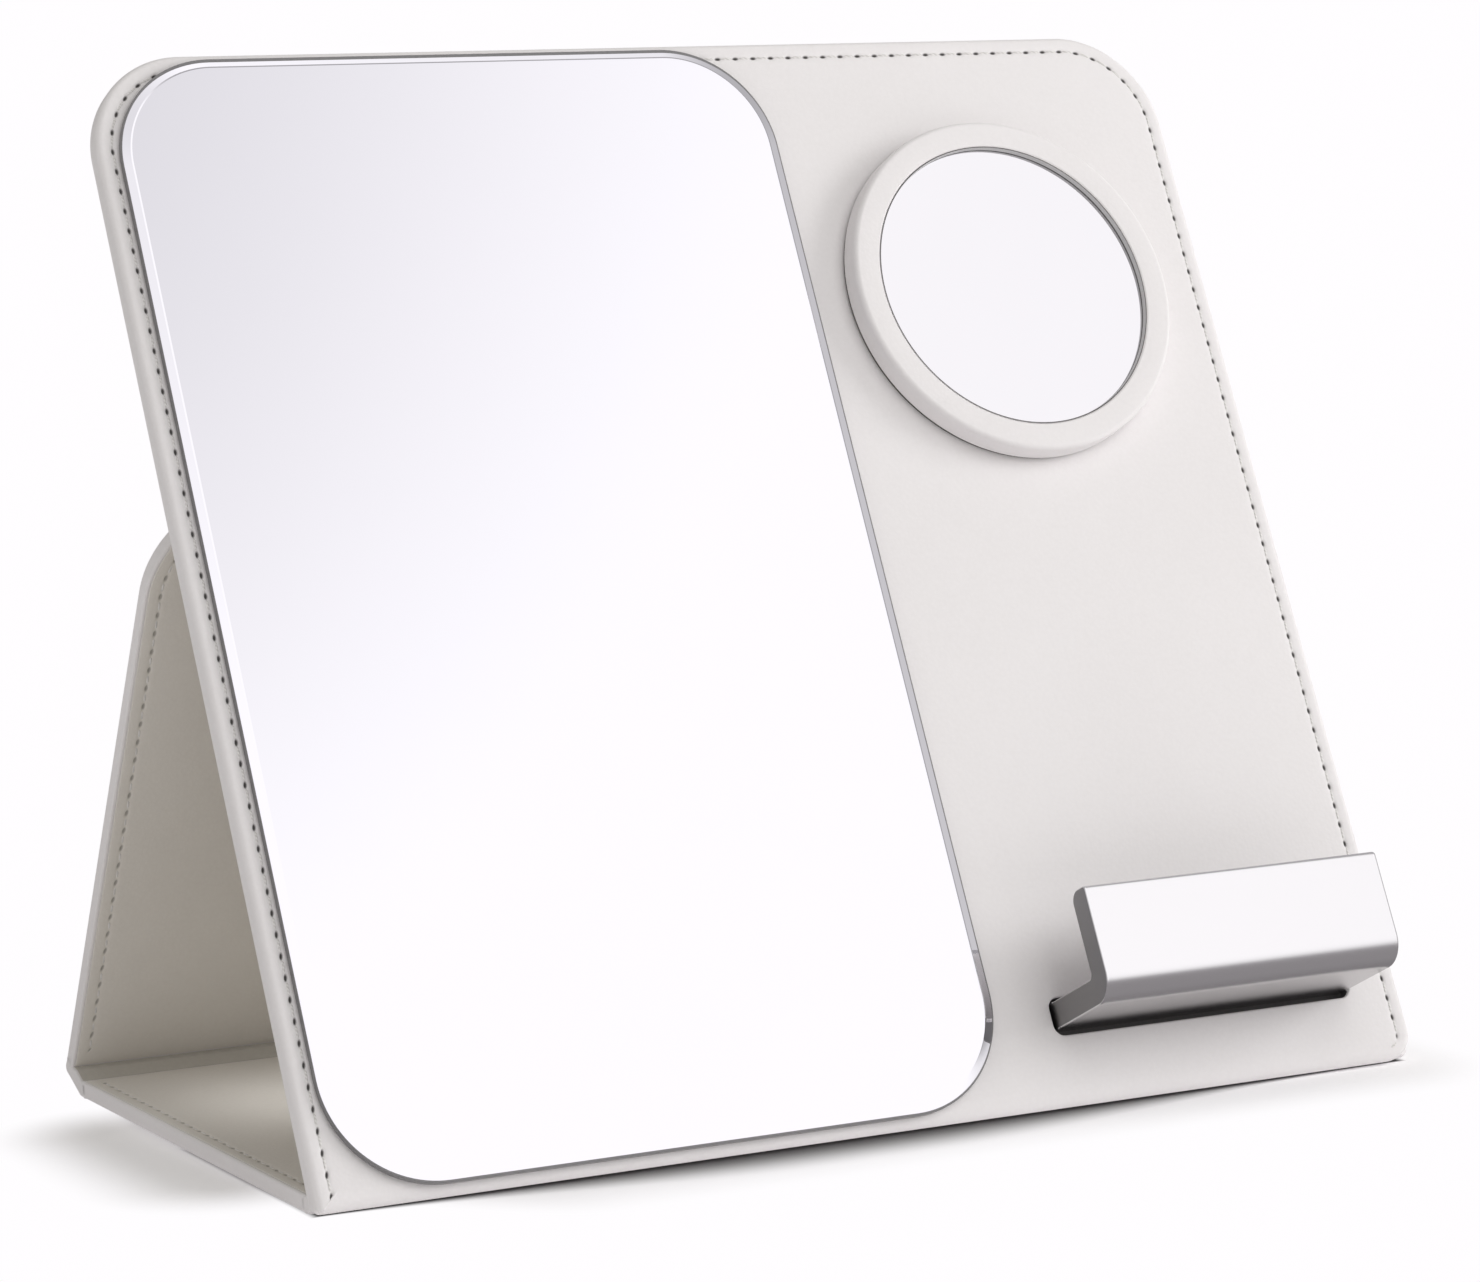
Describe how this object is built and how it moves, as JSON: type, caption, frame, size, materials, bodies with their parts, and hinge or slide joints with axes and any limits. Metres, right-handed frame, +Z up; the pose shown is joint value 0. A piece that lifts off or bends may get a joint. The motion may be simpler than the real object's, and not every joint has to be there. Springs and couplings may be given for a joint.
{
  "type": "folding travel mirror",
  "caption": "Folding travel mirror: large mirror, lift-off round mirror and plug-in phone rest on a leather-covered front panel, held up by a folding base and back panel.",
  "frame": {"origin": "on the floor, under the middle of the standing object", "axes": "+X across the panels to the viewer's right, +Y to the rear, +Z up"},
  "size_m": [0.22, 0.1258, 0.1879],
  "materials": {
    "leather": "off-white fine-grained synthetic leather, satin",
    "lining": "off-white synthetic leather lining, matte",
    "board": "grey pressed book board",
    "thread": "twisted sewing thread",
    "mirror": "polished silvered glass",
    "black_tape": "black mounting tape",
    "black_plastic": "black moulded plastic, matte",
    "white_plastic": "off-white moulded plastic",
    "steel": "plain sheet steel",
    "magnet": "nickel-plated magnet",
    "aluminium": "satin anodised aluminium"
  },
  "bodies": {
    "base": {"base_board": "board", "base_skin": "leather", "base_lining": "lining", "base_stitching": "thread", "front_crease": "leather"},
    "front": {"front_board": "board", "front_skin": "leather", "front_lining": "lining", "front_stitching": "thread", "mirror_tape": "black_tape", "mirror_glass": "mirror", "slot_liner": "black_plastic", "puck_keeper": "steel", "latch_strip": "steel"},
    "spine": {"rear_spine": "leather"},
    "back": {"back_board": "board", "back_skin": "leather", "back_lining": "lining", "back_stitching": "thread", "latch_magnets": "magnet"},
    "round_mirror": {"puck_shell": "leather", "puck_core": "white_plastic", "puck_glass": "mirror", "puck_rim": "black_plastic", "puck_magnets": "magnet", "puck_pad": "lining"},
    "phone_rest": {"phone_rest": "aluminium"}
  },
  "joints": [
    {"name": "front_fold", "type": "hinge", "parent": "base", "child": "front", "pos_m": [0, -0.04737, 0.00335], "axis": [-1, 0, 0], "range_deg": [0, 64]},
    {"name": "spine_fold", "type": "hinge", "parent": "base", "child": "spine", "pos_m": [0, 0.05548, 0.0012], "axis": [-1, 0, 0], "range_deg": [0, 27]},
    {"name": "back_fold", "type": "hinge", "parent": "spine", "child": "back", "pos_m": [0, 0.06171, 0.00438], "axis": [-1, 0, 0], "range_deg": [0, 89]},
    {"name": "round_mirror_lift", "type": "slide", "parent": "front", "child": "round_mirror", "axis": [0, -0.8988, 0.4384], "range_m": [0, 0.04]},
    {"name": "phone_rest_pull", "type": "slide", "parent": "front", "child": "phone_rest", "axis": [0, -0.8988, 0.4384], "range_m": [0, 0.025]}
  ],
  "couplings": [
    {"joint": "spine_fold", "follows": "front_fold", "ratio": 0.42188},
    {"joint": "back_fold", "follows": "front_fold", "ratio": 1.3906}
  ]
}
